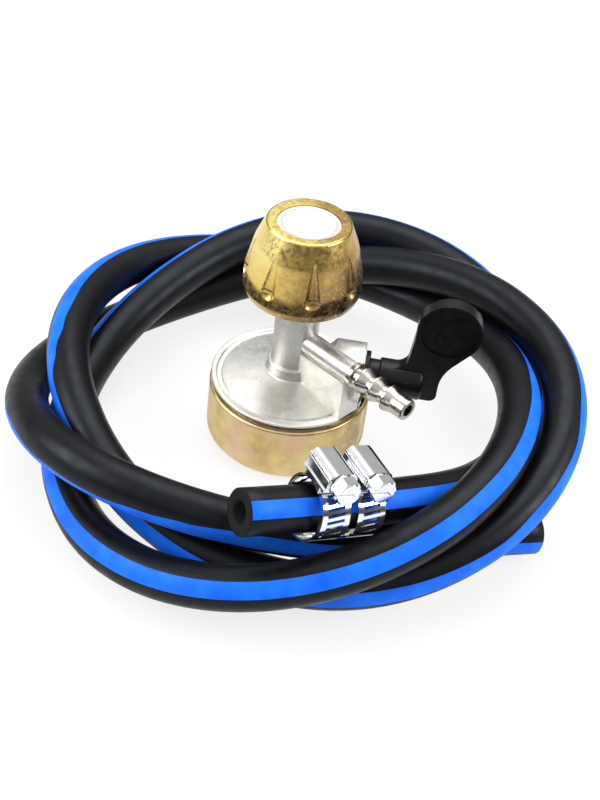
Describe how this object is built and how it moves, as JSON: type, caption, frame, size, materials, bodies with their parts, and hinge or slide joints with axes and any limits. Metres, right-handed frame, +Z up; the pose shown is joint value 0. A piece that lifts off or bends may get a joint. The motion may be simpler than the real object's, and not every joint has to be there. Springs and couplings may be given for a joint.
{
  "type": "propane regulator hose kit",
  "caption": "Screw-on propane regulator with hand-wheel, outlet cock and ridged nozzle, with a loose coil of striped gas hose and worm-screw hose clamps.",
  "frame": {"origin": "on the spindle's axis, at the surface that the regulator's cup stands on", "axes": "+Z up along the spindle, +X out along the hose nozzle"},
  "size_m": [0.1794, 0.1817, 0.0822],
  "materials": {
    "cast_zinc": "satin nickel plate on a fine-grained zinc casting",
    "gold_plate": "yellow zinc plated steel, half gloss",
    "gold_wheel": "bright yellow plating, speckled",
    "nickel": "bright nickel plate",
    "brass": "turned",
    "steel": "plain",
    "bright_steel": "polished",
    "rubber": "matte",
    "hose_rubber": "satin black with a blue stripe",
    "black_plastic": "moulded, half gloss",
    "label": "printed film"
  },
  "bodies": {
    "regulator": {"body_casting": "cast_zinc", "bottom_cup": "gold_plate", "nozzle": "nickel", "spring_sleeve": "steel", "diaphragm": "rubber", "regulator_spring": "steel", "inlet_jet": "brass", "valve_lever_pin": "steel", "cock_retaining_ring": "steel", "cock_stop_pin": "steel", "hose_coil": "hose_rubber", "hose_end": "hose_rubber", "hose_tail": "hose_rubber"},
    "wheel": {"handwheel": "gold_wheel", "label_disc": "label", "handwheel_nut": "steel", "hub_washer": "steel", "thrust_washer": "brass", "spindle": "brass", "spindle_o_rings": "rubber", "nose_seal": "rubber", "inlet_filter": "brass"},
    "cock": {"cock_lever": "black_plastic", "cock_lever_pin": "steel", "cock_plug": "brass", "cock_o_rings": "rubber"},
    "plate": {"diaphragm_plate": "steel"},
    "crank": {"valve_lever": "steel", "seat_pad": "rubber"},
    "clamp_1": {"clamp_band_1": "bright_steel", "clamp_housing_1": "bright_steel"},
    "clamp_1_screw": {"clamp_screw_1": "bright_steel"},
    "clamp_2": {"clamp_band_2": "bright_steel", "clamp_housing_2": "bright_steel"},
    "clamp_2_screw": {"clamp_screw_2": "bright_steel"}
  },
  "joints": [
    {"name": "handwheel_turn", "type": "hinge", "parent": "regulator", "child": "wheel", "pos_m": [0, 0, 0.06], "axis": [0, 0, 1], "continuous": true},
    {"name": "cock_turn", "type": "hinge", "parent": "regulator", "child": "cock", "pos_m": [0.0113, 0, 0.0342], "axis": [-0.7944, -0.6074, 0], "range_deg": [0, 90]},
    {"name": "plate_slide", "type": "slide", "parent": "regulator", "child": "plate", "axis": [0, 0, 1], "range_m": [-0.00037, 0], "stiffness_N_per_m": 600, "springref_m": 0.002, "deforming": ["diaphragm", "regulator_spring"]},
    {"name": "crank_turn", "type": "hinge", "parent": "regulator", "child": "crank", "pos_m": [-0.018, 0, 0.0189], "axis": [0, -1, 0], "range_deg": [0, 8.6]},
    {"name": "clamp_1_slide", "type": "slide", "parent": "regulator", "child": "clamp_1", "axis": [0.3146, 0.9163, -0.2479], "range_m": [-0.02, 0.0008]},
    {"name": "clamp_1_screw_turn", "type": "hinge", "parent": "clamp_1", "child": "clamp_1_screw", "pos_m": [0.05865, -0.04585, 0.05028], "axis": [0.9458, -0.3247, 0], "continuous": true},
    {"name": "clamp_2_slide", "type": "slide", "parent": "regulator", "child": "clamp_2", "axis": [0.3146, 0.9163, -0.2479], "range_m": [-0.0008, 0.0008]},
    {"name": "clamp_2_screw_turn", "type": "hinge", "parent": "clamp_2", "child": "clamp_2_screw", "pos_m": [0.06233, -0.03513, 0.04738], "axis": [0.9458, -0.3247, 0], "continuous": true}
  ],
  "couplings": [
    {"joint": "crank_turn", "follows": "plate_slide", "rad_per_m": -370.37}
  ]
}
